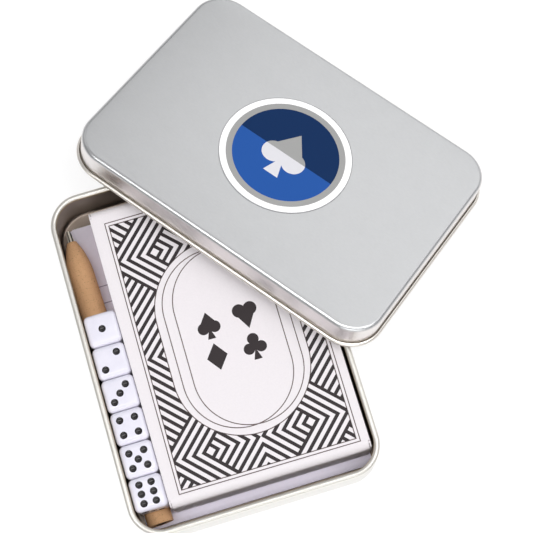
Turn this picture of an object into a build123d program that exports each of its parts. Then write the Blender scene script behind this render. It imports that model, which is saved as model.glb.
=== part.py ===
from build123d import *
import os
from math import atan2, cos, degrees, radians, sin

# A playing card and dice box: a tinplate tray and slip lid that hold a tuck box of cards,
# a row of six dice lying on a paper-barrelled pen, and a score pad under them all.
# The origin is the middle of the tray's underside, on the table. X runs across the tray,
# Y along it and Z up. The lid lies aslant over the +Y end, as it does when just taken off.
# The cards set the size of the tuck box, and with the dice they set the size of the tin.

# Playing cards
card_width = 57.6
card_length = 88.0
card_thickness = 0.285
card_corner = 3.5
card_gap = 0.01
cards_per_suit = 13
joker_count = 2

# Tuck box round the cards
case_board = 0.4
case_edge = 0.6
card_side_gap = 1.0
card_end_gap = 1.1
deck_room = 0.37
flap_roll = 2.5
flap_crease = 0.7
flap_inset = 0.6
flap_tongue = 12.0
flap_gap = 0.1
dust_flap_reach = 22.0
dust_flap_taper = 3.0
thumb_notch = 9.0

# Dice
die_size = 9.9
die_gap = 0.1
die_round = 1.2
die_case_gap = 0.1
die_pen_gap = 0.05
die_rim_gap = 0.17
last_die_gap = 6.38
pip_diameter = 2.05
pip_depth = 0.5
pip_spread = 2.22
six_spread = 1.82
six_step = 2.8

# Tray, drawn from one sheet of tinplate, with its rim rolled inwards
tin_corner = 9.8
tin_sheet = 0.28
tray_bend = 1.3
rim_curl = 0.92
rim_curl_angle = 270.0
case_side_gap = 0.95
case_front_gap = 4.96
case_back_gap = 4.56
case_headroom = 0.86

# Slip lid
lid_height = 9.1
lid_fit = 0.12
lid_shoulder = 1.2
lid_curl = 0.75
lid_curl_angle = 270.0
lid_turn = 38.0
lid_tilt = 17.75
lid_slide = 13.5
lid_touch = 0.1

# Round badge stuck on the lid
badge_diameter = 41.0
badge_thickness = 0.15

# Score pad
pad_side_gap = 2.3
pad_end_gap = 4.87
pad_front_gap = 3.6
pad_corner = 2.2
pad_board = 0.45
pad_leaf = 0.08
pad_leaves = 9
pad_leaf_gap = 0.01
pad_glue = 0.2

# Pen
pen_diameter = 7.8
pen_nose_length = 11.0
pen_nose_diameter = 3.1
pen_bore = 3.2
pen_wall_gap = 0.1
pen_case_gap = 0.88
pen_end_gap = 6.1
pen_rear_gap = 4.4
pen_pad_gap = 0.05
pen_tip_length = 3.8
pen_tip_root = 3.8
pen_tip_base = 2.5
pen_tip_end = 1.2
pen_ball = 0.5
refill_fit = 0.1
refill_wall = 0.4
refill_room = 5.7
plug_length = 4.0
plug_fit = 0.05
plug_chamfer = 0.4

# Small rounded shapes, and those that repeat, are drawn in a few flat facets
bend_facets = 2
shoulder_facets = 3
curl_facets = 6
sheet_corner_facets = 2
die_edge_facets = 2
pip_sides = 8
nose_facets = 3

# Heights of what is stacked in the tray, and the tuck box round its deck
pad_top = tin_sheet + pad_board + pad_leaves * (pad_leaf + pad_leaf_gap)
tongue_bottom = pad_top + case_board + flap_gap
tongue_top = tongue_bottom + case_board
suits = ("clubs", "diamonds", "hearts", "spades")
deck_height = (len(suits) * cards_per_suit + joker_count) * (card_thickness + card_gap)
case_top = tongue_top + deck_height + deck_room + case_board
case_height = case_top - pad_top
case_width = card_width + 2 * (card_side_gap + case_board)
case_length = card_length + 2 * (card_end_gap + 2 * case_board + flap_gap)
pen_height = pad_top + pen_pad_gap + pen_diameter / 2
die_bottom = pen_height + pen_diameter / 2 + die_pen_gap
die_pitch = die_size + die_gap

# The tin's measures. Its rim leaves the tuck box and the dice a little room all round.
rim_width = 2 * rim_curl
die_lane = die_rim_gap + die_size + die_case_gap
tin_width = 2 * rim_width + die_lane + case_width + case_side_gap
tin_length = 2 * rim_width + case_front_gap + case_length + case_back_gap
tin_height = case_top + case_headroom

# Where the tuck box lies
case_left = rim_width + die_lane - tin_width / 2
case_right = case_left + case_width
case_front = rim_width + case_front_gap - tin_length / 2
case_back = case_front + case_length
case_x = (case_left + case_right) / 2
case_y = (case_front + case_back) / 2

# The pad lies on the tray's floor with its own gap at each side
pad_width = tin_width - 2 * (tin_sheet + pad_side_gap)
pad_length = tin_length - 2 * tin_sheet - pad_end_gap - pad_front_gap

# The pen lies slightly aslant, with its shoulder by the wall and its rear by the tuck box
pen_span = tin_length - 2 * tin_sheet - pen_end_gap - pen_rear_gap
pen_shift = rim_width + die_lane - tin_sheet - pen_wall_gap - pen_diameter - pen_case_gap
pen_turn = degrees(atan2(pen_shift, pen_span - pen_nose_length - pen_tip_length))
pen_barrel_length = pen_span / cos(radians(pen_turn)) - pen_tip_length
refill_length = pen_barrel_length - pen_tip_root - plug_length - refill_room


def save(shape, name):
    shape.label = name
    export_step(shape, f"parts/{name}.step")


def arc_points(centre, radius, start, turn, facets):
    """Points along an arc, both its ends among them."""
    angles = [radians(start + turn * i / facets) for i in range(facets + 1)]
    return [(centre[0] + radius * cos(a), centre[1] + radius * sin(a)) for a in angles]


def eased_rectangle(width, length, corner, facets):
    """Rectangle with each corner rounded in a few facets."""
    points = []
    for x, y, start in ((1, 1, 0), (-1, 1, 90), (-1, -1, 180), (1, -1, 270)):
        centre = (x * (width / 2 - corner), y * (length / 2 - corner))
        points += arc_points(centre, corner, start, 90, facets)
    return make_face(Polyline(points, close=True))


def drawn_wall(section, width, length, corner):
    """Carry a wall's section, drawn outwards and up from the wall's face, round the corners."""
    path = RectangleRounded(width, length, corner).wire()
    forward = path % 0
    start = Plane(origin=path @ 0, x_dir=forward.cross(Vector(0, 0, 1)), z_dir=-forward)
    return sweep(start * make_face(Polyline(section, close=True)), path=path)


def tin_base():
    """Tray with a flat floor, a bend up into the wall and a rim rolled inwards."""
    bend = (-tray_bend, tray_bend)
    curl = (-rim_curl, tin_height - rim_curl)
    outer_bend = arc_points(bend, tray_bend, -90, 90, bend_facets)
    inner_bend = arc_points(bend, tray_bend - tin_sheet, -90, 90, bend_facets)
    outer_curl = arc_points(curl, rim_curl, 0, rim_curl_angle, curl_facets)
    inner_curl = arc_points(curl, rim_curl - tin_sheet, 0, rim_curl_angle, curl_facets)
    section = outer_bend + outer_curl + inner_curl[::-1] + inner_bend[::-1]
    wall = drawn_wall(section, tin_width, tin_length, tin_corner)
    inset = 2 * tray_bend
    floor = RectangleRounded(tin_width - inset, tin_length - inset, tin_corner - tray_bend)
    return wall + extrude(floor, tin_sheet)


# The lid's outside measures, from the tray's and the slip fit between them
lid_width = tin_width + 2 * (lid_fit + tin_sheet)
lid_length = tin_length + 2 * (lid_fit + tin_sheet)
lid_corner = tin_corner + lid_fit + tin_sheet


def lid_place():
    """Lean the lid on the tray: one long bead on the table, its panel on the +X +Y corner."""
    turn = radians(lid_turn)
    tilt = radians(lid_tilt)
    corner_x = tin_width / 2 - tin_corner
    corner_y = tin_length / 2 - tin_corner
    corner_reach = corner_x * cos(turn) + corner_y * sin(turn) + tin_corner - rim_curl
    rim_reach = sin(tilt) * corner_reach + cos(tilt) * (tin_height - rim_curl) + rim_curl
    bead_reach = lid_width / 2 - tin_sheet + lid_curl
    rise = lid_curl + lid_touch + sin(tilt) * bead_reach - cos(tilt) * lid_curl
    panel = lid_height - tin_sheet
    reach = (rim_reach + lid_touch - panel - cos(tilt) * rise) / sin(tilt)
    x = reach * cos(turn) - lid_slide * sin(turn)
    y = reach * sin(turn) + lid_slide * cos(turn)
    return Pos(x, y, rise) * Rot(Z=lid_turn) * Rot(Y=lid_tilt)


def tin_lid():
    """Shallow lid with a soft shoulder and a bead rolled outwards at the skirt's foot."""
    shoulder = (-lid_shoulder, lid_height - lid_shoulder)
    curl = (lid_curl - tin_sheet, lid_curl)
    outer_shoulder = arc_points(shoulder, lid_shoulder, 90, -90, shoulder_facets)
    inner_shoulder = arc_points(shoulder, lid_shoulder - tin_sheet, 90, -90, shoulder_facets)
    outer_curl = arc_points(curl, lid_curl, 180, lid_curl_angle, curl_facets)
    inner_curl = arc_points(curl, lid_curl - tin_sheet, 180, lid_curl_angle, curl_facets)
    section = outer_shoulder + inner_curl + outer_curl[::-1] + inner_shoulder[::-1]
    wall = drawn_wall(section, lid_width, lid_length, lid_corner)
    inset = 2 * lid_shoulder
    panel = RectangleRounded(lid_width - inset, lid_length - inset, lid_corner - lid_shoulder)
    top = Pos(0, 0, lid_height - tin_sheet) * extrude(panel, tin_sheet)
    return lid_place() * (wall + top)


def lid_badge():
    badge = extrude(Circle(badge_diameter / 2), badge_thickness)
    return lid_place() * Pos(0, 0, lid_height) * badge


def pad_leaf_at(height, thickness):
    y = tin_length / 2 - tin_sheet - pad_end_gap - pad_length / 2
    leaf = eased_rectangle(pad_width, pad_length, pad_corner, sheet_corner_facets)
    return Pos(0, y, height) * extrude(leaf, thickness)


def pad_backing():
    return pad_leaf_at(tin_sheet, pad_board)


def pad_leaf_stack():
    first = tin_sheet + pad_board + pad_leaf_gap
    step = pad_leaf + pad_leaf_gap
    return Compound([pad_leaf_at(first + i * step, pad_leaf) for i in range(pad_leaves)])


def pad_glue_strip():
    """Skin of padding glue that holds the leaves and the board at the pad's +Y edge."""
    y = tin_length / 2 - tin_sheet - pad_end_gap + pad_glue / 2
    strip = extrude(Rectangle(pad_width - 2 * pad_corner, pad_glue), pad_top - tin_sheet)
    return Pos(0, y, tin_sheet) * strip


def at_case_end(shape, end):
    """Place a shape that is drawn at the tuck box's front end, or turn it to the back end."""
    if end == "front":
        return Pos(case_x, case_front, 0) * shape
    return Pos(case_x, case_back, 0) * Rot(Z=180) * shape


def case_sleeve():
    """Four walls of the tuck box, with the top panel cut back where the flaps roll down."""
    middle = pad_top + case_height / 2
    outside = RectangleRounded(case_width, case_height, case_edge)
    bore_width = case_width - 2 * case_board
    bore = RectangleRounded(bore_width, case_height - 2 * case_board, case_edge - case_board)
    tube = extrude(Plane.XZ * (outside - bore), (case_length - 2 * case_board) / 2, both=True)
    sleeve = Pos(case_x, case_y, middle) * tube
    roll = Rectangle(2 * flap_roll, 2 * flap_roll) - Circle(flap_roll)
    roll = roll & Pos(-flap_roll, flap_roll) * Rectangle(2 * flap_roll, 2 * flap_roll)
    corner_cut = extrude(Plane.YZ * roll, case_width, both=True)
    panel_cut = Pos(0, flap_roll / 2, case_top) * Box(bore_width, flap_roll, 4 * case_board)
    for end in ("front", "back"):
        sleeve -= at_case_end(Pos(0, flap_roll, case_top - flap_roll) * corner_cut, end)
        sleeve -= at_case_end(panel_cut, end)
    notch = Pos(case_x, case_front + case_board, pad_top) * Cylinder(thumb_notch, 4 * case_board)
    return sleeve - notch


def tuck_flap(end):
    """Flap that rolls down from the top panel, closes the end and tucks in under the cards."""
    top = case_top
    roll_centre = (flap_roll, top - flap_roll)
    crease_centre = (flap_crease, tongue_bottom + flap_crease)
    outer_roll = CenterArc(roll_centre, flap_roll, 90, 90)
    inner_roll = CenterArc(roll_centre, flap_roll - case_board, 90, 90)
    outer_crease = CenterArc(crease_centre, flap_crease, 180, 90)
    inner_crease = CenterArc(crease_centre, flap_crease - case_board, 180, 90)
    tongue = (flap_tongue, tongue_bottom)
    tongue_upper = (flap_tongue, tongue_top)
    outline = [
        outer_roll,
        Line(outer_roll @ 1, outer_crease @ 0),
        outer_crease,
        Line(outer_crease @ 1, tongue),
        Line(tongue, tongue_upper),
        Line(tongue_upper, inner_crease @ 1),
        inner_crease,
        Line(inner_crease @ 0, inner_roll @ 1),
        inner_roll,
        Line(inner_roll @ 0, outer_roll @ 0),
    ]
    width = case_width - 2 * flap_inset
    flap = extrude(Plane.YZ * make_face(outline), width / 2, both=True)
    return at_case_end(flap, end)


def dust_flap(end, side):
    """Short flap folded in from a side wall, behind the tuck flap."""
    low = tongue_top + flap_gap
    high = case_top - flap_roll - flap_gap
    hinge = case_width / 2 - case_board
    tip = hinge - dust_flap_reach
    outline = Polyline(
        (hinge, low), (hinge, high), (tip, high - dust_flap_taper), (tip, low), close=True
    )
    panel = extrude(Plane.XZ * make_face(outline), -case_board)
    if side == "left":
        panel = mirror(panel, about=Plane.YZ)
    return at_case_end(Pos(0, case_board + flap_gap, 0) * panel, end)


def card_packet(first, count):
    """Cards lying one on another, counted up from the lowest in the deck."""
    outline = eased_rectangle(card_width, card_length, card_corner, sheet_corner_facets)
    card = extrude(outline, card_thickness)
    step = card_thickness + card_gap
    low = tongue_top + card_gap
    return Compound([Pos(case_x, case_y, low + (first + i) * step) * card for i in range(count)])


# Turns that bring each face of a die to the top. Opposite faces add up to seven.
face_turn = {
    1: Rot(X=0),
    2: Rot(X=-90),
    3: Rot(Y=-90),
    4: Rot(Y=90),
    5: Rot(X=90),
    6: Rot(Z=-90) * Rot(X=180),
}


def pip_places(value):
    """Middle of each pip on the face that shows a value, seen with that face on top."""
    diagonal = [(pip_spread, pip_spread), (-pip_spread, -pip_spread)]
    other_diagonal = [(-pip_spread, pip_spread), (pip_spread, -pip_spread)]
    if value == 6:
        return [(x, y) for x in (-six_spread, six_spread) for y in (-six_step, 0, six_step)]
    places = []
    if value % 2:
        places += [(0, 0)]
    if value > 1:
        places += diagonal
    if value > 3:
        places += other_diagonal
    return places


def plain_die():
    """Cube with eased edges and a drilled pip for every spot, its one on top."""
    square = eased_rectangle(die_size, die_size, die_round, die_edge_facets)
    bar = extrude(square, die_size / 2, both=True)
    cube = bar & Rot(X=90) * bar & Rot(Y=90) * bar
    rim = RegularPolygon(pip_diameter / 2, pip_sides)
    pip = loft([Pos(0, 0, pip_depth) * rim, Vertex(0, 0, 0)])
    for value, turn in face_turn.items():
        for x, y in pip_places(value):
            cube -= turn.inverse() * Pos(x, y, die_size / 2 - pip_depth) * pip
    return cube


def die_at(cube, value):
    """Turn a value to the top and set the die in its place in the row."""
    x = case_left - die_case_gap - die_size / 2
    last = rim_width + last_die_gap + die_size / 2 - tin_length / 2
    y = last + (len(face_turn) - value) * die_pitch
    return Pos(x, y, die_bottom + die_size / 2) * face_turn[value] * cube


def pen_place(shape):
    """Lay a shape that is drawn upright from the barrel's shoulder along the -X wall."""
    x = tin_sheet + pen_wall_gap + pen_diameter / 2 - tin_width / 2
    nose = pen_nose_length + pen_tip_length
    y = tin_length / 2 - tin_sheet - pen_end_gap - nose * cos(radians(pen_turn))
    return Pos(x, y, pen_height) * Rot(Z=pen_turn) * Rot(X=-90) * shape


def pen_barrel():
    """Rolled paper barrel, bored through, with a blunt nose that curves in from its side."""
    radius = pen_diameter / 2
    nose = pen_nose_diameter / 2
    bore = pen_bore / 2
    neck = pen_tip_base / 2
    rear = pen_nose_length - pen_barrel_length
    refill_front = pen_nose_length - pen_tip_root
    drop = radius - nose
    bend = (drop ** 2 + pen_nose_length ** 2) / (2 * drop)
    sweep_angle = degrees(atan2(pen_nose_length, bend - drop))
    section = [(radius, rear)]
    section += arc_points((radius - bend, 0), bend, 0, sweep_angle, nose_facets)
    section += [(neck, pen_nose_length), (neck, refill_front), (bore, refill_front), (bore, rear)]
    outline = Polyline(section, close=True)
    return pen_place(revolve(Plane.XZ * make_face(outline), Axis.Z))


def pen_tip():
    """Metal cone pressed into the nose, with a step where it leaves the paper."""
    base = pen_tip_base / 2
    end = pen_tip_end / 2
    root = pen_nose_length - pen_tip_root
    top = pen_nose_length + pen_tip_length
    hole = pen_ball / 2
    outline = Polyline(
        (hole, root), (base, root), (base, pen_nose_length), (end, top), (hole, top), close=True
    )
    return pen_place(revolve(Plane.XZ * make_face(outline), Axis.Z))


def pen_point():
    """Writing ball on its stem, down the middle of the cone."""
    ball = pen_ball / 2
    root = pen_nose_length - pen_tip_root
    top = pen_nose_length + pen_tip_length
    section = [(0, root), (ball, root)] + arc_points((0, top), ball, 0, 90, bend_facets)
    outline = Polyline(section, close=True)
    return pen_place(revolve(Plane.XZ * make_face(outline), Axis.Z))


def pen_refill():
    """Plastic ink tube behind the tip."""
    outer = pen_bore / 2 - refill_fit
    front = pen_nose_length - pen_tip_root
    tube = extrude(Circle(outer) - Circle(outer - refill_wall), refill_length)
    return pen_place(Pos(0, 0, front - refill_length) * tube)


def pen_end_plug():
    """Short plug that shuts the barrel's rear end."""
    plug = extrude(Circle(pen_bore / 2 - plug_fit), plug_length)
    plug = chamfer(plug.edges().sort_by(Axis.Z)[-1], plug_chamfer)
    return pen_place(Pos(0, 0, pen_nose_length - pen_barrel_length) * plug)


os.makedirs("parts", exist_ok=True)

save(tin_base(), "tin_base")
save(tin_lid(), "tin_lid")
save(lid_badge(), "lid_badge")

save(pad_backing(), "pad_backing")
save(pad_leaf_stack(), "pad_leaves")
save(pad_glue_strip(), "pad_glue_strip")

save(case_sleeve(), "card_case_sleeve")
for end in ("front", "back"):
    save(tuck_flap(end), f"card_case_tuck_flap_{end}")
    for side in ("left", "right"):
        save(dust_flap(end, side), f"card_case_dust_flap_{end}_{side}")

for i, suit in enumerate(suits):
    save(card_packet(i * cards_per_suit, cards_per_suit), f"cards_{suit}")
save(card_packet(len(suits) * cards_per_suit, joker_count), "cards_jokers")

die = plain_die()
for value, word in enumerate(("one", "two", "three", "four", "five", "six"), start=1):
    save(die_at(die, value), f"die_{word}")

save(pen_barrel(), "pen_barrel")
save(pen_tip(), "pen_tip")
save(pen_point(), "pen_point")
save(pen_refill(), "pen_refill")
save(pen_end_plug(), "pen_end_plug")
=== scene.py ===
# Playing card and dice box: a tinplate tray with its slip lid leaning over one corner,
# packed with a tuck box of cards, six dice lying on a paper pen, and a score pad below.
import bpy
import bmesh
from math import degrees, radians
from mathutils import Matrix, Vector


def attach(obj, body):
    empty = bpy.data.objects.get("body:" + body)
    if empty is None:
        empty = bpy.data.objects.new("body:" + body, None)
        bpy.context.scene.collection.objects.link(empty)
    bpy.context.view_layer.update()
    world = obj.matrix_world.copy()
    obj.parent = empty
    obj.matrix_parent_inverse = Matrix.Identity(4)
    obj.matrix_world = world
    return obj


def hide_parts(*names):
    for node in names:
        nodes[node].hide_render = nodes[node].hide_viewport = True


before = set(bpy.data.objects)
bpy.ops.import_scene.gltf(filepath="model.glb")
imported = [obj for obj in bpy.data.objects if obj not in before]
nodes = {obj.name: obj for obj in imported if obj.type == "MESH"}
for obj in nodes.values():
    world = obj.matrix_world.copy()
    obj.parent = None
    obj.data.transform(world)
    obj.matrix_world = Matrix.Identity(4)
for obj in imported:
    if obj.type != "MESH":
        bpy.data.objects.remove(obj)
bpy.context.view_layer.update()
mm = 0.001
weld = 0.002 * mm  # points closer than this are one point
flush = 0.01 * mm  # and what is this near a plane lies in it
print("frame loaded:", len(nodes), "nodes")


# Small tools for modelling

def deselectAll():
    if bpy.context.object and bpy.context.object.mode == "EDIT":
        bpy.ops.object.mode_set(mode="OBJECT")
    bpy.ops.object.select_all(action="DESELECT")


def pickOnly(piece):
    deselectAll()
    piece.select_set(True)
    bpy.context.view_layer.objects.active = piece


def place(x, y, z):  # a place in millimetres, as the metres Blender takes
    return Vector((x * mm, y * mm, z * mm))


def selectWhere(piece, kind, test):  # in edit mode, select what passes the test
    shape = bmesh.from_edit_mesh(piece.data)
    bpy.ops.mesh.select_mode(type={"verts": "VERT", "edges": "EDGE", "faces": "FACE"}[kind])
    bpy.ops.mesh.select_all(action="DESELECT")
    for part in getattr(shape, kind):
        if test(part):
            part.select = True
    shape.select_flush_mode()
    bmesh.update_edit_mesh(piece.data)


def middle(part):  # middle of an edge or a face
    total = Vector()
    for corner in part.verts:
        total += corner.co
    return total / len(part.verts)


def startSection(name, start):  # one point, from which a section is drawn
    deselectAll()
    bpy.ops.mesh.primitive_plane_add(size=mm, location=start)
    piece = bpy.context.object
    piece.name = name
    bpy.ops.object.transform_apply(location=True, rotation=False, scale=False)
    bpy.ops.object.mode_set(mode="EDIT")
    bpy.ops.mesh.select_mode(type="VERT")
    bpy.ops.mesh.select_all(action="SELECT")
    bpy.ops.mesh.merge(type="CENTER")
    return piece


def drawLine(x, y, z):  # carry the selected points along, leaving edges or faces behind
    bpy.ops.mesh.extrude_region_move(TRANSFORM_OT_translate={"value": place(x, y, z)})


def turnAbout(centre, axis, angle, steps):  # the same, anticlockwise round an axis, in degrees
    bpy.ops.mesh.spin(steps=steps, angle=radians(-angle), center=centre, axis=axis)


def addModifier(piece, kind, **settings):  # add a modifier and apply it
    pickOnly(piece)
    modifier = piece.modifiers.new(kind.title(), kind)
    for setting, value in settings.items():
        setattr(modifier, setting, value)
    bpy.ops.object.modifier_apply(modifier=modifier.name)


def closeShell(piece, outward):  # merge doubles and point the faces as the test says
    pickOnly(piece)
    bpy.ops.object.mode_set(mode="EDIT")
    bpy.ops.mesh.select_all(action="SELECT")
    bpy.ops.mesh.remove_doubles(threshold=weld)
    bpy.ops.mesh.normals_make_consistent(inside=False)
    shape = bmesh.from_edit_mesh(piece.data)
    if not outward(shape):
        bpy.ops.mesh.flip_normals()
    bpy.ops.object.mode_set(mode="OBJECT")


def setDown(piece, matrix=None):  # put a piece in its place and leave its object at the origin
    pickOnly(piece)
    if matrix:
        piece.matrix_world = matrix
    bpy.ops.object.transform_apply(location=True, rotation=True, scale=True)


def finishPiece(piece, body, replaced, finish=None, angle=40):
    pickOnly(piece)
    bpy.ops.object.shade_smooth_by_angle(angle=radians(angle))
    if finish:  # the tray and the dice have theirs already
        piece.data.materials.append(finish)
    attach(piece, body)
    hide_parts(*replaced)
    print("made", piece.name, len(piece.data.polygons), "faces")


# Small tools for finishes

def linearColour(code):  # an sRGB hex colour, as the linear values that sockets take
    channels = [int(code[i:i + 2], 16) / 255 for i in (1, 3, 5)]
    return [c / 12.92 if c <= 0.04045 else ((c + 0.055) / 1.055) ** 2.4 for c in channels] + [1]


def addNode(tree, kind, sockets=None, output=0, **settings):
    node = tree.nodes.new(kind)
    for setting, value in settings.items():
        setattr(node, setting, value)
    for name, value in (sockets or {}).items():
        if isinstance(value, bpy.types.NodeSocket):
            tree.links.new(value, node.inputs[name])
        else:
            node.inputs[name].default_value = value
    return node.outputs[output]


def startFinish(name, sockets):  # a material whose shader has these socket values
    finish = bpy.data.materials.new(name)
    finish.use_nodes = True
    tree = finish.node_tree
    shader = tree.nodes["Principled BSDF"]
    for socket, value in sockets.items():
        shader.inputs[socket].default_value = value
    return finish, tree, shader


def objectPlace(tree, scale, location=(0, 0, 0), rotation=(0, 0, 0)):
    # object coordinates measured from a place and turn, in units of scale
    where = addNode(tree, "ShaderNodeTexCoord", output="Object")
    size = scale if isinstance(scale, (tuple, list)) else (scale,) * 3
    return addNode(tree, "ShaderNodeMapping", {"Vector": where, "Location": location,
                   "Rotation": rotation, "Scale": size}, vector_type="TEXTURE")


# Lid's place: its length turned 38 degrees, then tilted so that one long bead is on the table
lidSpot = {"x": 34.3161, "y": 43.9424, "z": 11.8638, "turn": 38.0, "tilt": 17.75}
lidMatrix = (Matrix.Translation(place(lidSpot["x"], lidSpot["y"], lidSpot["z"]))
             @ Matrix.Rotation(radians(lidSpot["turn"]), 4, "Z")
             @ Matrix.Rotation(radians(lidSpot["tilt"]), 4, "Y"))
lidTurn = lidMatrix.to_euler()


# Satin tinplate: cold-rolled steel with a matt tin coat. Its grain is fine and nearly even, so
# the sheet mirrors the studio as a soft grey sheen.
tinplateLook = {
    "lid": "#CCCDCE", "lidSide": "#F6F1EF", "lidIn": "#C9C0B9",
    "tray": "#DAD7D1", "traySide": "#FFFDF7", "trayIn": "#D2BE9A",
    # the tray's inside colours are painted shade and reflection of its dim hollow
    "inside": "#857A71", "insideSide": "#ADA59D", "insideIn": "#ADA59D",
    "low": {"lid": (1.52, "#ECE7E0"), "tray": (18.0, "#F4F2EE")},  # the lid's bead, the tray's wall
    "steep": (0.75, 0.25), "dull": 0.92, "mottle": 6.0, "mottleShare": 0.2, "grainShare": 0.8,
    "roughness": {"lid": 0.33, "tray": 0.45, "inside": 0.36}, "roughSpread": (-0.03, 0.04),
    "grainWidth": 0.30, "grainLength": 1.1, "grainBump": 0.05, "grainDepth": 0.05,
}


def tinplateFinish(name, part, location, rotation):
    look = tinplateLook
    finish, tree, shader = startFinish(name, {"Metallic": 1.0})
    width, length = look["grainWidth"] * mm, look["grainLength"] * mm
    grain = objectPlace(tree, (width, length, width), location, rotation)
    streaks = addNode(tree, "ShaderNodeTexNoise", {"Vector": grain, "Scale": 1.0, "Detail": 3.0})
    # Noise lies mostly between 0.3 and 0.7, and a Map Range spreads it over what is wanted
    cloud = addNode(tree, "ShaderNodeTexNoise", {"Vector": objectPlace(tree, look["mottle"] * mm),
                    "Scale": 1.0, "Detail": 2.0})
    tone = addNode(tree, "ShaderNodeMapRange", {0: cloud, 1: 0.3, 2: 0.7, 3: 0.0,
                   4: look["mottleShare"]})
    fine = addNode(tree, "ShaderNodeMath", {0: streaks, 1: look["grainShare"], 2: tone},
                   operation="MULTIPLY_ADD")
    # Painted reflection: steep parts of the sheet a little warmer, inward-facing ones golden
    facing = addNode(tree, "ShaderNodeNewGeometry", output="Normal")
    upward = addNode(tree, "ShaderNodeSeparateXYZ", {0: facing}, output=2)
    steep = addNode(tree, "ShaderNodeMapRange", {0: upward, 1: look["steep"][0],
                    2: look["steep"][1], 3: 0.0, 4: 1.0})
    spot = objectPlace(tree, mm, location, rotation)
    level = addNode(tree, "ShaderNodeVectorMath", {0: spot, 1: (1, 1, 0)}, operation="MULTIPLY")
    outward = addNode(tree, "ShaderNodeVectorMath", {0: facing, 1: level}, output="Value",
                      operation="DOT_PRODUCT")
    inner = addNode(tree, "ShaderNodeMath", {0: outward, 1: 0.0}, operation="LESS_THAN")
    side = addNode(tree, "ShaderNodeMix", {0: inner, 6: linearColour(look[part + "Side"]),
                   7: linearColour(look[part + "In"])}, output=2, data_type="RGBA")
    colour = addNode(tree, "ShaderNodeMix", {0: steep, 6: linearColour(look[part]), 7: side},
                     output=2, data_type="RGBA")
    # Painted reflection: the lid's bead and the tray's wall get tones of their own
    if part in look["low"]:  # the lid's bead and the tray's wall have a tone of their own
        limit, shade = look["low"][part]
        height = addNode(tree, "ShaderNodeSeparateXYZ", {0: spot}, output=2)
        low = addNode(tree, "ShaderNodeMath", {0: height, 1: limit}, operation="LESS_THAN")
        colour = addNode(tree, "ShaderNodeMix", {0: low, 6: colour, 7: linearColour(shade)},
                         output=2, data_type="RGBA")
    dull = addNode(tree, "ShaderNodeMapRange", {0: fine, 1: 0.0, 2: 1.0, 3: 1.0, 4: look["dull"]})
    colour = addNode(tree, "ShaderNodeVectorMath", {0: colour, "Scale": dull}, operation="SCALE")
    tree.links.new(colour, shader.inputs["Base Color"])
    smoothest, roughest = (look["roughness"][part] + step for step in look["roughSpread"])
    rough = addNode(tree, "ShaderNodeMapRange", {0: streaks, 1: 0.3, 2: 0.7, 3: smoothest,
                    4: roughest})
    tree.links.new(rough, shader.inputs["Roughness"])
    bump = addNode(tree, "ShaderNodeBump", {"Height": streaks, "Strength": look["grainBump"],
                   "Distance": look["grainDepth"] * mm})
    tree.links.new(bump, shader.inputs["Normal"])
    return finish


trayTinplate = tinplateFinish("satin tinplate tray", "tray", (0, 0, 0), (0, 0, 0))
# The tray's inside is the same tinplate, painted darker and warmer as painted shade
insideTinplate = tinplateFinish("tinplate inside, painted shade", "inside", (0, 0, 0), (0, 0, 0))
lidTinplate = tinplateFinish("satin tinplate lid", "lid", lidMatrix.translation, lidTurn)


# Card suits, with half their height as 1. Discs: across, up, radius. Straight-sided wedges: half
# width at v is slope * v + base, from a low v to a high one.
suitShapes = {
    "heart": {"discs": [(0.41, 0.42, 0.49)], "wedges": [(0.60, 0.60, -1.0, 0.46)]},
    "spade": {"discs": [(0.41, -0.16, 0.43)],
              "wedges": [(-0.70, 0.70, -0.18, 1.0), (-0.34, -0.04, -1.0, -0.2)]},
    "club": {"discs": [(0.44, -0.14, 0.41), (0.0, 0.52, 0.42), (0.0, 0.0, 0.26)],
             "wedges": [(-0.34, -0.04, -1.0, 0.0)]},
}
diamondSlim = 1.32  # a diamond's height over its width


def suitMask(tree, u, v, suit):  # 1 inside the suit's outline, u and v measured from its middle
    side = addNode(tree, "ShaderNodeMath", {0: u}, operation="ABSOLUTE")
    if suit == "diamond":
        wide = addNode(tree, "ShaderNodeMath", {0: side, 1: diamondSlim}, operation="MULTIPLY")
        tall = addNode(tree, "ShaderNodeMath", {0: v}, operation="ABSOLUTE")
        reach = addNode(tree, "ShaderNodeMath", {0: wide, 1: tall}, operation="ADD")
        return addNode(tree, "ShaderNodeMath", {0: reach, 1: 1.0}, operation="LESS_THAN")
    mask = 0.0
    for across, up, radius in suitShapes[suit]["discs"]:
        x = addNode(tree, "ShaderNodeMath", {0: side, 1: across}, operation="SUBTRACT")
        y = addNode(tree, "ShaderNodeMath", {0: v, 1: up}, operation="SUBTRACT")
        spot = addNode(tree, "ShaderNodeCombineXYZ", {0: x, 1: y})
        reach = addNode(tree, "ShaderNodeVectorMath", {0: spot}, output="Value", operation="LENGTH")
        disc = addNode(tree, "ShaderNodeMath", {0: reach, 1: radius}, operation="LESS_THAN")
        mask = addNode(tree, "ShaderNodeMath", {0: disc, 1: mask}, operation="MAXIMUM")
    for slope, base, low, high in suitShapes[suit]["wedges"]:
        width = addNode(tree, "ShaderNodeMath", {0: v, 1: slope, 2: base}, operation="MULTIPLY_ADD")
        inside = addNode(tree, "ShaderNodeMath", {0: side, 1: width}, operation="LESS_THAN")
        under = addNode(tree, "ShaderNodeMath", {0: v, 1: high}, operation="LESS_THAN")
        over = addNode(tree, "ShaderNodeMath", {0: v, 1: low}, operation="GREATER_THAN")
        band = addNode(tree, "ShaderNodeMath", {0: under, 1: over}, operation="MULTIPLY")
        wedge = addNode(tree, "ShaderNodeMath", {0: inside, 1: band}, operation="MULTIPLY")
        mask = addNode(tree, "ShaderNodeMath", {0: wedge, 1: mask}, operation="MAXIMUM")
    return mask


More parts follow.
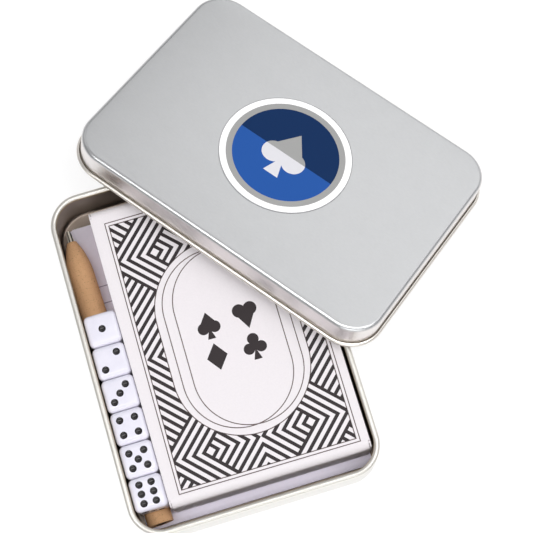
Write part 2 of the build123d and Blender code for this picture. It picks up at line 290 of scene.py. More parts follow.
# Badge: silk-coated paper, printed in flat inks. It mirrors only a little, so the navy stays deep.
badgeLook = {
    "radius": 20.5, "cutEdge": 0.25, "rim": 18.3, "ring": 16.4, "suit": 8.6,
    "white": "#FFFFFF", "edge": "#9A9A9C", "grey": "#9F9F9E", "blue": "#2354A0", "navy": "#082B57",
    "pale": "#DAD9DE", "roughness": 0.45, "specular": 0.12,
}


def badgeFinish():
    look = badgeLook
    finish, tree, shader = startFinish("silk printed paper", {
        "Roughness": look["roughness"], "Specular IOR Level": look["specular"]})
    spot = objectPlace(tree, mm, lidMatrix.translation, lidTurn)
    axes = addNode(tree, "ShaderNodeSeparateXYZ", {0: spot}).node.outputs
    # The badge is read along the lid's length, with its navy half above
    flat = addNode(tree, "ShaderNodeCombineXYZ", {0: axes[0], 1: axes[1]})
    reach = addNode(tree, "ShaderNodeVectorMath", {0: flat}, output="Value", operation="LENGTH")
    half = addNode(tree, "ShaderNodeMath", {0: axes[0], 1: 0.0}, operation="GREATER_THAN")
    colour = addNode(tree, "ShaderNodeMix", {0: half, 6: linearColour(look["blue"]),
                     7: linearColour(look["navy"])}, output=2, data_type="RGBA")
    tone = addNode(tree, "ShaderNodeMix", {0: half, 6: linearColour(look["pale"]),
                   7: linearColour(look["grey"])}, output=2, data_type="RGBA")
    u = addNode(tree, "ShaderNodeMath", {0: axes[1], 1: look["suit"]}, operation="DIVIDE")
    v = addNode(tree, "ShaderNodeMath", {0: axes[0], 1: look["suit"]}, operation="DIVIDE")
    mask = suitMask(tree, u, v, "spade")
    colour = addNode(tree, "ShaderNodeMix", {0: mask, 6: colour, 7: tone}, output=2,
                     data_type="RGBA")
    bands = {look["ring"]: "grey", look["rim"]: "white", look["radius"] - look["cutEdge"]: "edge"}
    for start, shade in bands.items():
        past = addNode(tree, "ShaderNodeMath", {0: reach, 1: start}, operation="GREATER_THAN")
        colour = addNode(tree, "ShaderNodeMix", {0: past, 6: colour, 7: linearColour(look[shade])},
                         output=2, data_type="RGBA")
    tree.links.new(colour, shader.inputs["Base Color"])
    return finish


# Tray: one drawn sheet, bent up from a flat floor, with its rim rolled inwards
traySize = {
    "width": 75.2, "length": 105.2, "height": 20.0, "corner": 9.8, "sheet": 0.28,
    "bend": 1.3, "curl": 0.92, "curlAngle": 268.0,
    "bendSteps": 6, "curlSteps": 18, "cornerSteps": 18,
}


def sweepRound(piece, width, length, corner):  # carry a section round one quarter, then mirror it
    bpy.ops.mesh.select_all(action="SELECT")
    drawLine(0, length / 2 - corner, 0)
    turnAbout(place(width / 2 - corner, length / 2 - corner, 0), (0, 0, 1), 90,
              traySize["cornerSteps"])
    drawLine(corner - width / 2, 0, 0)
    bpy.ops.object.mode_set(mode="OBJECT")
    addModifier(piece, "MIRROR", use_axis=(True, True, False), merge_threshold=weld)


def fillOpening(piece, height):  # close the flat ring of edges at a height with one face
    pickOnly(piece)
    bpy.ops.object.mode_set(mode="EDIT")
    selectWhere(piece, "edges", lambda e: e.is_boundary
                and all(abs(v.co.z - height * mm) < flush for v in e.verts))
    bpy.ops.mesh.edge_face_add()
    bpy.ops.object.mode_set(mode="OBJECT")


def makeTray():
    size = traySize
    half = size["width"] / 2
    piece = startSection("TrayShell", place(half - size["bend"], 0, 0))
    turnAbout(place(half - size["bend"], 0, size["bend"]), (0, -1, 0), 90, size["bendSteps"])
    drawLine(0, 0, size["height"] - size["bend"] - size["curl"])
    turnAbout(place(half - size["curl"], 0, size["height"] - size["curl"]), (0, -1, 0),
              size["curlAngle"], size["curlSteps"])
    sweepRound(piece, size["width"], size["length"], size["corner"])
    fillOpening(piece, 0)
    closeShell(piece, lambda shape: max(shape.faces, key=lambda f: middle(f).x).normal.x > 0)
    piece.data.materials.append(trayTinplate)
    piece.data.materials.append(insideTinplate)
    addModifier(piece, "SOLIDIFY", thickness=size["sheet"] * mm, offset=-1, use_even_offset=True,
                material_offset=1, material_offset_rim=1)
    setDown(piece)
    finishPiece(piece, "tray", ["tin_base"])


# Lid: shallow, with a soft shoulder, a plain skirt and a bead rolled outwards at its foot
lidSize = {
    "fit": 0.12, "height": 9.1, "shoulder": 1.38, "curl": 0.75, "curlAngle": 268.0, "sheet": 0.28,
    "shoulderSteps": 8, "curlSteps": 18,
}


def makeLid():
    size = lidSize
    sheet = size["sheet"]
    grow = size["fit"]  # the drawn face is the lid's inside, which clears the tray by the fit
    width = traySize["width"] + 2 * grow
    length = traySize["length"] + 2 * grow
    corner = traySize["corner"] + grow
    bend = size["shoulder"] - sheet
    top = size["height"] - sheet
    piece = startSection("LidShell", place(width / 2 - bend, 0, top))
    turnAbout(place(width / 2 - bend, 0, top - bend), (0, 1, 0), 90, size["shoulderSteps"])
    drawLine(0, 0, size["curl"] - top + bend)
    turnAbout(place(width / 2 + size["curl"], 0, size["curl"]), (0, -1, 0), size["curlAngle"],
              size["curlSteps"])
    sweepRound(piece, width, length, corner)
    fillOpening(piece, top)
    closeShell(piece, lambda shape: max(shape.faces, key=lambda f: f.calc_area()).normal.z < 0)
    addModifier(piece, "SOLIDIFY", thickness=sheet * mm, offset=-1, use_even_offset=True)
    setDown(piece, lidMatrix)
    finishPiece(piece, "lid", ["tin_lid"], lidTinplate)


makeTray()
makeLid()
nodes["lid_badge"].data.materials.clear()
nodes["lid_badge"].data.materials.append(badgeFinish())


# Coated board: white clay-coated stock. Its fibres leave a very faint unevenness, and the
# print is warm black ink.
boardLook = {
    "white": "#E2DDE0", "ink": "#2A2224", "line": "#5C4E4C", "roughness": 0.55, "specular": 0.3,
    "fibre": 0.5, "fibreTone": (0.97, 1.02), "fibreBump": 0.08, "fibreDepth": 0.03,
}

# The tuck box's print, in millimetres from the middle of its thin frame
printPlan = {
    "x": 5.28, "y": -0.85, "turn": -0.38, "frameWide": 27.13, "frameHigh": 41.92, "inset": 1.02,
    "drop": 1.68, "motifAcross": 15.0, "motifUp": 30.85, "pitch": 3.03, "ink": 1.45,
    "core": 1.4, "edge": 14.85, "ground": 0.33,
    "ovalShift": 0.2, "ovalRound": 20.35, "ovalStraight": 9.38,
    "ringRound": 16.34, "ringStraight": 10.85, "ringShifts": (-1.26, 1.91), "line": 0.30,
    "suitAcross": 5.7, "suitUp": 4.8, "suitSize": 4.1, "facesUp": 0.9,
}


def plainBoard(name):
    look = boardLook
    finish, tree, shader = startFinish(name, {
        "Roughness": look["roughness"], "Specular IOR Level": look["specular"]})
    fibre = addNode(tree, "ShaderNodeTexNoise", {"Vector": objectPlace(tree, look["fibre"] * mm),
                    "Scale": 1.0, "Detail": 4.0})
    tone = addNode(tree, "ShaderNodeMapRange", {0: fibre, 1: 0.2, 2: 0.8, 3: look["fibreTone"][0],
                   4: look["fibreTone"][1]})
    white = addNode(tree, "ShaderNodeVectorMath", {0: linearColour(look["white"])[:3],
                    "Scale": tone}, operation="SCALE")
    tree.links.new(white, shader.inputs["Base Color"])
    bump = addNode(tree, "ShaderNodeBump", {"Height": fibre, "Strength": look["fibreBump"],
                   "Distance": look["fibreDepth"] * mm})
    tree.links.new(bump, shader.inputs["Normal"])
    return finish, tree, shader, white


def inkStripes(tree, distance, start, pitch, ink):  # 1 on the inked part of each pitch
    turns = addNode(tree, "ShaderNodeMath", {0: distance, 1: 1 / pitch, 2: -start / pitch},
                    operation="MULTIPLY_ADD")
    part = addNode(tree, "ShaderNodeMath", {0: turns}, operation="FRACT")
    return addNode(tree, "ShaderNodeMath", {0: part, 1: ink / pitch}, operation="LESS_THAN")


def thinLine(tree, distance, width):  # 1 within half a line's width of where distance is 0
    return addNode(tree, "ShaderNodeMath", {0: distance, 1: 0.0, 2: width / 2}, operation="COMPARE")


def boxReach(tree, across, up, wide, high):  # how far outside a box, below 0 inside it
    x = addNode(tree, "ShaderNodeMath", {0: across, 1: wide}, operation="SUBTRACT")
    y = addNode(tree, "ShaderNodeMath", {0: up, 1: high}, operation="SUBTRACT")
    return addNode(tree, "ShaderNodeMath", {0: x, 1: y}, operation="MAXIMUM")


def ovalReach(tree, across, up, straight, radius):  # how far outside an oval with straight sides
    past = addNode(tree, "ShaderNodeMath", {0: up, 1: straight}, operation="SUBTRACT")
    past = addNode(tree, "ShaderNodeMath", {0: past, 1: 0.0}, operation="MAXIMUM")
    spot = addNode(tree, "ShaderNodeCombineXYZ", {0: across, 1: past})
    reach = addNode(tree, "ShaderNodeVectorMath", {0: spot}, output="Value", operation="LENGTH")
    return addNode(tree, "ShaderNodeMath", {0: reach, 1: radius}, operation="SUBTRACT")


def printedBoard():
    plan = printPlan
    finish, tree, shader, white = plainBoard("coated board with warm black print")
    spot = objectPlace(tree, mm, place(plan["x"], plan["y"], 0), (0, 0, radians(plan["turn"])))
    axes = addNode(tree, "ShaderNodeSeparateXYZ", {0: spot}).node.outputs
    across = addNode(tree, "ShaderNodeMath", {0: axes[0]}, operation="ABSOLUTE")
    frameUp = addNode(tree, "ShaderNodeMath", {0: axes[1]}, operation="ABSOLUTE")
    level = addNode(tree, "ShaderNodeMath", {0: axes[1], 1: plan["drop"]}, operation="ADD")
    up = addNode(tree, "ShaderNodeMath", {0: level}, operation="ABSOLUTE")
    # Nested diamonds round four middles, cut at their outer line by a slanting ground
    p = addNode(tree, "ShaderNodeMath", {0: across, 1: plan["motifAcross"]}, operation="SUBTRACT")
    rise = addNode(tree, "ShaderNodeMath", {0: up, 1: plan["motifUp"]}, operation="SUBTRACT")
    q = addNode(tree, "ShaderNodeMath", {0: rise}, operation="ABSOLUTE")
    outward = addNode(tree, "ShaderNodeMath", {0: p, 1: q}, operation="ADD")
    inward = addNode(tree, "ShaderNodeMath", {0: q, 1: p}, operation="SUBTRACT")
    pitch, ink, core = plan["pitch"], plan["ink"], plan["core"]
    outer = inkStripes(tree, outward, core, pitch, ink)
    inner = inkStripes(tree, inward, core, pitch, ink)
    beyond = addNode(tree, "ShaderNodeMath", {0: inward, 1: core}, operation="GREATER_THAN")
    inner = addNode(tree, "ShaderNodeMath", {0: inner, 1: beyond}, operation="MULTIPLY")
    ground = inkStripes(tree, inward, plan["ground"] - ink, pitch, ink)
    pastCore = addNode(tree, "ShaderNodeMath", {0: outward, 1: core}, operation="GREATER_THAN")
    pastEdge = addNode(tree, "ShaderNodeMath", {0: outward, 1: plan["edge"]},
                       operation="GREATER_THAN")
    art = addNode(tree, "ShaderNodeMix", {0: pastCore, 2: inner, 3: outer})
    art = addNode(tree, "ShaderNodeMix", {0: pastEdge, 2: art, 3: ground})
    # Thin frame, and the white oval with two thin rings
    frameReach = boxReach(tree, across, frameUp, plan["frameWide"], plan["frameHigh"])
    artReach = boxReach(tree, across, frameUp, plan["frameWide"] - plan["inset"],
                        plan["frameHigh"] - plan["inset"])
    x = addNode(tree, "ShaderNodeMath", {0: axes[0], 1: plan["ovalShift"]}, operation="SUBTRACT")
    oval = ovalReach(tree, x, up, plan["ovalStraight"], plan["ovalRound"])
    inFrame = addNode(tree, "ShaderNodeMath", {0: artReach, 1: 0.0}, operation="LESS_THAN")
    pastOval = addNode(tree, "ShaderNodeMath", {0: oval, 1: 0.0}, operation="GREATER_THAN")
    art = addNode(tree, "ShaderNodeMath", {0: art, 1: inFrame}, operation="MULTIPLY")
    art = addNode(tree, "ShaderNodeMath", {0: art, 1: pastOval}, operation="MULTIPLY")
    lines = 0.0
    reaches = [frameReach, artReach, oval]
    for shift in plan["ringShifts"]:
        x = addNode(tree, "ShaderNodeMath", {0: axes[0], 1: shift}, operation="SUBTRACT")
        reaches.append(ovalReach(tree, x, up, plan["ringStraight"], plan["ringRound"]))
    for reach in reaches:
        line = thinLine(tree, reach, plan["line"])
        lines = addNode(tree, "ShaderNodeMath", {0: line, 1: lines}, operation="MAXIMUM")
    # Four suits in the middle of the oval
    size = plan["suitSize"]
    for suit, x, y in (("spade", -1, 1), ("heart", 1, 1), ("diamond", -1, -1), ("club", 1, -1)):
        u = addNode(tree, "ShaderNodeMath", {0: axes[0], 1: 1 / size,
                    2: -x * plan["suitAcross"] / size}, operation="MULTIPLY_ADD")
        v = addNode(tree, "ShaderNodeMath", {0: level, 1: 1 / size,
                    2: -y * plan["suitUp"] / size}, operation="MULTIPLY_ADD")
        mask = suitMask(tree, u, v, suit)
        art = addNode(tree, "ShaderNodeMath", {0: art, 1: mask}, operation="MAXIMUM")
    # Only the top panel is printed
    facing = addNode(tree, "ShaderNodeNewGeometry", output="Normal")
    upward = addNode(tree, "ShaderNodeSeparateXYZ", {0: facing}, output=2)
    onTop = addNode(tree, "ShaderNodeMath", {0: upward, 1: plan["facesUp"]},
                    operation="GREATER_THAN")
    art = addNode(tree, "ShaderNodeMath", {0: art, 1: onTop}, operation="MULTIPLY")
    lines = addNode(tree, "ShaderNodeMath", {0: lines, 1: onTop}, operation="MULTIPLY")
    colour = addNode(tree, "ShaderNodeMix", {0: lines, 6: white,
                     7: linearColour(boardLook["line"])}, output=2, data_type="RGBA")
    colour = addNode(tree, "ShaderNodeMix", {0: art, 6: colour, 7: linearColour(boardLook["ink"])},
                     output=2, data_type="RGBA")
    tree.links.new(colour, shader.inputs["Base Color"])
    return finish


printBoard = printedBoard()
whiteBoard = plainBoard("coated board")[0]


# Tuck box: a sleeve of four walls, with a flap rolled down from the top panel at each end
tuckBoxSize = {
    "left": -25.59, "right": 34.81, "front": -45.8, "back": 46.2, "bottom": 1.54, "top": 19.14,
    "board": 0.4, "edge": 0.6, "roll": 2.5, "crease": 0.7, "inset": 0.6, "tongue": 12.0,
    "tuck": 0.5, "edgeSteps": 4, "sleeveSteps": 8, "rollSteps": 10, "creaseSteps": 5,
    "endLean": 0.02,
}


def makeSleeve():
    size = tuckBoxSize
    wide = size["right"] - size["left"]
    long = size["back"] - size["front"]
    high = size["top"] - size["bottom"]
    centre = place((size["left"] + size["right"]) / 2, (size["front"] + size["back"]) / 2,
                   (size["bottom"] + size["top"]) / 2)
    deselectAll()
    bpy.ops.mesh.primitive_cube_add(size=1, location=centre, scale=place(wide, long, high))
    piece = bpy.context.object
    piece.name = "BoardSleeve"
    setDown(piece)
    bpy.ops.object.mode_set(mode="EDIT")
    # Round the ends' upper edges, so that the side walls end in the flaps' roll
    selectWhere(piece, "edges", lambda e: abs(middle(e).z - size["top"] * mm) < flush
                and abs(middle(e).x - centre.x) < mm)
    bpy.ops.mesh.bevel(offset=size["roll"] * mm, segments=size["sleeveSteps"], profile=0.5)
    selectWhere(piece, "edges", lambda e: abs(e.verts[0].co.y - e.verts[1].co.y) > long / 2 * mm)
    bpy.ops.mesh.bevel(offset=size["edge"] * mm, segments=size["edgeSteps"], profile=0.5)
    # Open the ends and take away the roll, which belongs to the flaps
    selectWhere(piece, "faces", lambda f: abs(f.normal.y) > size["endLean"])
    bpy.ops.mesh.delete(type="FACE")
    cuts = ((size["front"] + size["board"], True), (size["back"] - size["board"], False))
    for y, toFront in cuts:
        bpy.ops.mesh.select_all(action="SELECT")
        bpy.ops.mesh.bisect(plane_co=place(0, y, 0), plane_no=(0, 1, 0), clear_inner=toFront,
                            clear_outer=not toFront)
    bpy.ops.object.mode_set(mode="OBJECT")
    closeShell(piece, lambda shape: max(shape.faces, key=lambda f: middle(f).z).normal.z > 0)
    addModifier(piece, "SOLIDIFY", thickness=size["board"] * mm, offset=-1, use_even_offset=True)
    setDown(piece)
    finishPiece(piece, "card_case", ["card_case_sleeve"], printBoard)


def makeTuckFlap(end):
    size = tuckBoxSize
    toward = 1 if end == "front" else -1
    edge = size[end]
    left = size["left"] + size["inset"]
    wide = size["right"] - size["left"] - 2 * size["inset"]
    low = size["bottom"] + size["tuck"]
    rollEnd = edge + toward * size["roll"]
    piece = startSection("TuckFlap" + end.title(), place(left, rollEnd, size["top"]))
    turnAbout(place(left, rollEnd, size["top"] - size["roll"]), (toward, 0, 0), 90,
              size["rollSteps"])
    drawLine(0, 0, low + size["crease"] - size["top"] + size["roll"])
    turnAbout(place(left, edge + toward * size["crease"], low + size["crease"]), (toward, 0, 0),
              90, size["creaseSteps"])
    drawLine(0, toward * (size["tongue"] - size["crease"]), 0)
    bpy.ops.mesh.select_all(action="SELECT")
    drawLine(wide, 0, 0)
    bpy.ops.object.mode_set(mode="OBJECT")
    closeShell(piece, lambda shape: max(shape.faces,
                                        key=lambda f: f.calc_area()).normal.y * toward < 0)
    addModifier(piece, "SOLIDIFY", thickness=size["board"] * mm, offset=-1, use_even_offset=True)
    setDown(piece)
    finishPiece(piece, "card_case", ["card_case_tuck_flap_" + end], whiteBoard)


makeSleeve()
for end in ("front", "back"):
    makeTuckFlap(end)


# Dice: moulded urea plastic, tumbled to a polish, with drilled pips filled by black enamel
diceSize = {
    "x": -30.64, "firstY": 10.57, "pitch": 10.0, "z": 14.39, "size": 9.9, "round": 1.6,
    "pip": 2.2, "depth": 0.5, "spread": 2.22, "sixSpread": 1.82, "sixStep": 2.8,
    "edgeSteps": 6, "ballRound": 32, "ballRings": 24, "smoothUnder": 28,
}
diceLook = {
    "urea": "#E3E1EC", "ureaHaze": "#DCDAE6", "hazeSize": 4, "ureaRoughness": 0.22,
    "enamel": "#141214", "enamelThin": "#262325", "enamelSize": 0.6, "enamelRoughness": 0.12,
}
diceTurn = {  # what brings each value's face up, as the row shows it
    1: Matrix.Identity(4), 2: Matrix.Rotation(radians(-90), 4, "X"),
    3: Matrix.Rotation(radians(-90), 4, "Y"), 4: Matrix.Rotation(radians(90), 4, "Y"),
    5: Matrix.Rotation(radians(90), 4, "X"),
    6: Matrix.Rotation(radians(-90), 4, "Z") @ Matrix.Rotation(radians(180), 4, "X"),
}


def ureaFinish():
    # Urea plastic is hard and dense: a cool white with a soft gloss and next to no grain
    look = diceLook
    finish, tree, shader = startFinish("polished urea plastic",
                                       {"Roughness": look["ureaRoughness"]})
    haze = addNode(tree, "ShaderNodeTexNoise", {"Vector": objectPlace(tree, look["hazeSize"] * mm),
                   "Scale": 1.0})
    tone = addNode(tree, "ShaderNodeMapRange", {0: haze, 1: 0.3, 2: 0.7, 3: 0.0, 4: 1.0})
    colour = addNode(tree, "ShaderNodeMix", {0: tone, 6: linearColour(look["urea"]),
                     7: linearColour(look["ureaHaze"])}, output=2, data_type="RGBA")
    tree.links.new(colour, shader.inputs["Base Color"])
    return finish


def enamelFinish():
    # Enamel dries glossy, so each pip shows a small highlight in its hollow
    look = diceLook
    finish, tree, shader = startFinish("black pip enamel", {"Roughness": look["enamelRoughness"]})
    spread = addNode(tree, "ShaderNodeTexNoise", {
        "Vector": objectPlace(tree, look["enamelSize"] * mm), "Scale": 1.0})
    colour = addNode(tree, "ShaderNodeMix", {0: spread, 6: linearColour(look["enamel"]),
                     7: linearColour(look["enamelThin"])}, output=2, data_type="RGBA")
    tree.links.new(colour, shader.inputs["Base Color"])
    return finish


def pipPlaces(value):
    size = diceSize
    s = size["spread"]
    if value == 6:
        return [(x, y) for x in (-size["sixSpread"], size["sixSpread"])
                for y in (-size["sixStep"], 0, size["sixStep"])]
    spots = [(0, 0)] if value % 2 else []
    if value > 1:
        spots += [(s, s), (-s, -s)]
    if value > 3:
        spots += [(-s, s), (s, -s)]
    return spots


def makeDice():
    size = diceSize
    half = size["size"] / 2
    deselectAll()
    bpy.ops.mesh.primitive_cube_add(size=size["size"] * mm)
    die = bpy.context.object
    bpy.ops.object.mode_set(mode="EDIT")
    bpy.ops.mesh.select_all(action="SELECT")
    bpy.ops.mesh.bevel(offset=size["round"] * mm, segments=size["edgeSteps"], profile=0.5)
    bpy.ops.object.mode_set(mode="OBJECT")
    die.data.materials.append(ureaFinish())
    # A ball for each pip, as deep as the drill goes, all joined into one cutter
    radius = (size["depth"] ** 2 + (size["pip"] / 2) ** 2) / (2 * size["depth"])
    balls = []
    for value, turn in diceTurn.items():
        for x, y in pipPlaces(value):
            spot = turn.inverted() @ place(x, y, half - size["depth"] + radius)
            deselectAll()
            bpy.ops.mesh.primitive_uv_sphere_add(
                segments=size["ballRound"], ring_count=size["ballRings"], radius=radius * mm,
                location=spot)
            ball = bpy.context.object
            up = turn.inverted() @ Vector((0, 0, 1))
            ball.rotation_euler = up.to_track_quat("Z", "Y").to_euler()
            balls.append(ball)
    deselectAll()
    for ball in balls:
        ball.select_set(True)
    bpy.context.view_layer.objects.active = balls[0]
    bpy.ops.object.join()
    cutter = bpy.context.object
    bpy.ops.object.transform_apply(location=True, rotation=True, scale=True)
    cutter.data.materials.append(enamelFinish())
    addModifier(die, "BOOLEAN", operation="DIFFERENCE", object=cutter, solver="EXACT",
                material_mode="TRANSFER")
    bpy.data.objects.remove(cutter)
    words = ("one", "two", "three", "four", "five", "six")
    for value, word in enumerate(words, start=1):
        copy = die.copy()
        copy.data = die.data.copy()
        copy.name = "Die" + word.title()
        bpy.context.scene.collection.objects.link(copy)
        spot = place(size["x"], size["firstY"] - (value - 1) * size["pitch"], size["z"])
        setDown(copy, Matrix.Translation(spot) @ diceTurn[value])
        finishPiece(copy, "die_" + word, ["die_" + word], angle=size["smoothUnder"])
    bpy.data.objects.remove(die)


makeDice()


# Pen: a rolled kraft barrel with a metal cone in its nose
penSize = {
    "x": -33.32, "y": 31.43, "z": 5.49, "turn": 2.13, "radius": 3.9, "length": 90.4, "nose": 11.0,
    "noseRadius": 1.55, "bore": 1.6, "tip": 3.8, "tipBase": 1.25, "noseSteps": 10, "sides": 48,
}
kraftLook = {
    "pale": "#EBBD8F", "brown": "#DBA879", "speck": "#A3784D", "crease": "#A87A4A",
    "fibre": (0.35, 3.0, 0.35), "speckSize": 0.45, "speckFrom": 0.61, "speckShare": 0.75,
    "creaseSize": (2.6, 0.22, 2.6), "creaseFrom": 0.62, "creaseShare": 0.35, "full": 0.72,
    "roughness": 0.85, "bump": 0.25, "depth": 0.08,
}
penMatrix = (Matrix.Translation(place(penSize["x"], penSize["y"], penSize["z"]))
             @ Matrix.Rotation(radians(penSize["turn"]), 4, "Z")
             @ Matrix.Rotation(radians(-90), 4, "X"))


def kraftFinish():
    # Unbleached kraft paper, wound in layers: brown, matt, with long fibres and small specks
    look = kraftLook
    finish, tree, shader = startFinish("kraft paper", {"Roughness": look["roughness"]})
    along = objectPlace(tree, [width * mm for width in look["fibre"]])
    fibres = addNode(tree, "ShaderNodeTexNoise", {"Vector": along, "Scale": 1.0, "Detail": 5.0})
    specks = addNode(tree, "ShaderNodeTexNoise", {
        "Vector": objectPlace(tree, look["speckSize"] * mm), "Scale": 1.0, "Detail": 3.0})
    dark = addNode(tree, "ShaderNodeMapRange", {0: specks, 1: look["speckFrom"], 2: look["full"],
                   3: 0.0, 4: look["speckShare"]})
    base = addNode(tree, "ShaderNodeMix", {0: fibres, 6: linearColour(look["pale"]),
                   7: linearColour(look["brown"])}, output=2, data_type="RGBA")
    colour = addNode(tree, "ShaderNodeMix", {0: dark, 6: base, 7: linearColour(look["speck"])},
                     output=2, data_type="RGBA")
    # Handling leaves fine creases across the barrel, darkened by crushed fibre and painted shade
    across = objectPlace(tree, [width * mm for width in look["creaseSize"]])
    creases = addNode(tree, "ShaderNodeTexNoise", {"Vector": across, "Scale": 1.0, "Detail": 2.0})
    crease = addNode(tree, "ShaderNodeMapRange", {0: creases, 1: look["creaseFrom"],
                     2: look["full"], 3: 0.0, 4: look["creaseShare"]})
    colour = addNode(tree, "ShaderNodeMix", {0: crease, 6: colour, 7: linearColour(look["crease"])},
                     output=2, data_type="RGBA")
    tree.links.new(colour, shader.inputs["Base Color"])
    height = addNode(tree, "ShaderNodeMath", {0: fibres, 1: crease}, operation="SUBTRACT")
    bump = addNode(tree, "ShaderNodeBump", {"Height": height, "Strength": look["bump"],
                   "Distance": look["depth"] * mm})
    tree.links.new(bump, shader.inputs["Normal"])
    return finish


def makeBarrel():
    size = penSize
    rear = size["nose"] - size["length"]
    piece = startSection("PenBarrel", place(size["bore"], 0, rear))
    drawLine(size["radius"] - size["bore"], 0, 0)
    drawLine(0, 0, -rear)
    # The nose curves in from the barrel's side: an arc that starts along it
    drop = size["radius"] - size["noseRadius"]
    bend = (drop ** 2 + size["nose"] ** 2) / (2 * drop)
    sweep = Vector((bend - drop, size["nose"])).angle(Vector((1, 0)))
    turnAbout(place(size["radius"] - bend, 0, 0), (0, -1, 0), degrees(sweep), size["noseSteps"])
    drawLine(size["tipBase"] - size["noseRadius"], 0, 0)
    drawLine(0, 0, -size["tip"])
    drawLine(size["bore"] - size["tipBase"], 0, 0)
    drawLine(0, 0, rear - size["nose"] + size["tip"])
    bpy.ops.mesh.select_all(action="SELECT")
    turnAbout(place(0, 0, 0), (0, 0, 1), 360, size["sides"])
    bpy.ops.object.mode_set(mode="OBJECT")
    closeShell(piece, lambda shape: max(shape.faces, key=lambda f: middle(f).x).normal.x > 0)
    setDown(piece, penMatrix)
    finishPiece(piece, "pen", ["pen_barrel"], kraftFinish())


makeBarrel()


# Cone: turned and plated brass, polished; painted reflection in light and dark stripes along it
coneLook = {
    "dark": "#3A342F", "bright": "#F7F3E8", "stripes": 7.0, "shift": 0.4, "darkUnder": -0.6,
    "brightOver": 0.2, "roughness": 0.28, "metallic": 0.5,
}


def coneFinish():
    look = coneLook
    finish, tree, shader = startFinish("turned nickel plate", {
        "Roughness": look["roughness"], "Metallic": look["metallic"]})
    spot = objectPlace(tree, mm, penMatrix.translation, penMatrix.to_euler())
    across = addNode(tree, "ShaderNodeSeparateXYZ", {0: spot})
    # Painted reflection: dark and bright stripes along the cone
    wave = addNode(tree, "ShaderNodeMath", {0: across, 1: look["stripes"], 2: look["shift"]},
                   operation="MULTIPLY_ADD")
    wave = addNode(tree, "ShaderNodeMath", {0: wave}, operation="SINE")
    part = addNode(tree, "ShaderNodeMapRange", {0: wave, 1: look["darkUnder"],
                   2: look["brightOver"], 3: 0.0, 4: 1.0})
    colour = addNode(tree, "ShaderNodeMix", {0: part, 6: linearColour(look["dark"]),
                     7: linearColour(look["bright"])}, output=2, data_type="RGBA")
    tree.links.new(colour, shader.inputs["Base Color"])
    return finish


# Plain paper, board and plastic: faintly uneven in patches of a size, some of them darker
cloudLook = {"size": 1.5, "darker": 0.9}


def cloudIn(tree):
    return addNode(tree, "ShaderNodeTexNoise", {
        "Vector": objectPlace(tree, cloudLook["size"] * mm), "Scale": 1.0, "Detail": 3.0})


def cloudedFinish(name, shade, roughness):
    finish, tree, shader = startFinish(name, {"Roughness": roughness})
    cloud = cloudIn(tree)
    dark = [c * cloudLook["darker"] for c in linearColour(shade)[:3]] + [1]
    colour = addNode(tree, "ShaderNodeMix", {0: cloud, 6: linearColour(shade), 7: dark},
                     output=2, data_type="RGBA")
    tree.links.new(colour, shader.inputs["Base Color"])
    return finish


# Score pad: thin uncoated paper, matt and with a lilac shade, ruled across from its upper part down
padRule = {
    "first": 27.65, "pitch": 5.35, "last": -39.0, "line": 0.28, "paper": "#F7F1FF",
    "ink": "#9C95AA", "roughness": 0.8, "thinnest": 0.96,
}


def padFinish():
    rule = padRule
    finish, tree, shader = startFinish("ruled paper", {"Roughness": rule["roughness"]})
    height = addNode(tree, "ShaderNodeSeparateXYZ", {0: objectPlace(tree, mm)}, output=1)
    below = addNode(tree, "ShaderNodeMath", {0: rule["first"], 1: height}, operation="SUBTRACT")
    ruled = inkStripes(tree, below, 0.0, rule["pitch"], rule["line"])
    half = (rule["first"] - rule["last"]) / 2
    body = addNode(tree, "ShaderNodeMath", {0: below, 1: half, 2: half}, operation="COMPARE")
    ruled = addNode(tree, "ShaderNodeMath", {0: ruled, 1: body}, operation="MULTIPLY")
    tone = addNode(tree, "ShaderNodeMapRange", {0: cloudIn(tree), 1: 0.2, 2: 0.8,
                   3: rule["thinnest"], 4: 1.0})
    colour = addNode(tree, "ShaderNodeMix", {0: ruled, 6: linearColour(rule["paper"]),
                     7: linearColour(rule["ink"])}, output=2, data_type="RGBA")
    colour = addNode(tree, "ShaderNodeVectorMath", {0: colour, "Scale": tone}, operation="SCALE")
    tree.links.new(colour, shader.inputs["Base Color"])
    return finish


# The pieces that keep their CAD shape
cadFinishes = {
    "greyBoard": cloudedFinish("grey board", "#8E8986", 0.9),  # pressed waste paper, matt
    "padPaper": padFinish(),
    "padGlue": cloudedFinish("padding glue", "#E2DEE4", 0.5),  # brushed on, dried to a dull skin
    "cardStock": cloudedFinish("card stock", "#EDEAE6", 0.5),  # coated and calendered, a low sheen
    "tipMetal": coneFinish(),
    "refill": cloudedFinish("refill tube", "#D5D5CF", 0.4),  # drawn plastic tube, milky
    "plug": cloudedFinish("end plug", "#3A302A", 0.6),  # moulded plastic, dark and dull
    "whiteBoard": whiteBoard,
}
cadNodes = {
    "pad_backing": "greyBoard", "pad_leaves": "padPaper", "pad_glue_strip": "padGlue",
    "card_case_dust_flap_front_left": "whiteBoard", "card_case_dust_flap_front_right": "whiteBoard",
    "card_case_dust_flap_back_left": "whiteBoard", "card_case_dust_flap_back_right": "whiteBoard",
    "cards_clubs": "cardStock", "cards_diamonds": "cardStock", "cards_hearts": "cardStock",
    "cards_spades": "cardStock", "cards_jokers": "cardStock",
    "pen_tip": "tipMetal", "pen_point": "tipMetal", "pen_refill": "refill", "pen_end_plug": "plug",
}
for node, finish in cadNodes.items():
    nodes[node].data.materials.clear()
    nodes[node].data.materials.append(cadFinishes[finish])
print("finished the carried-over nodes")


# Table: white paper that keeps the object's soft shadow. Part of it glows where it is seen or
# mirrored, a little less in a mirror.
tableLook = {
    "size": 6.0, "drop": 0.1, "white": 0.9, "roughness": 0.9, "share": 0.7, "glow": 1.1,
    "mirrored": -0.08,
}


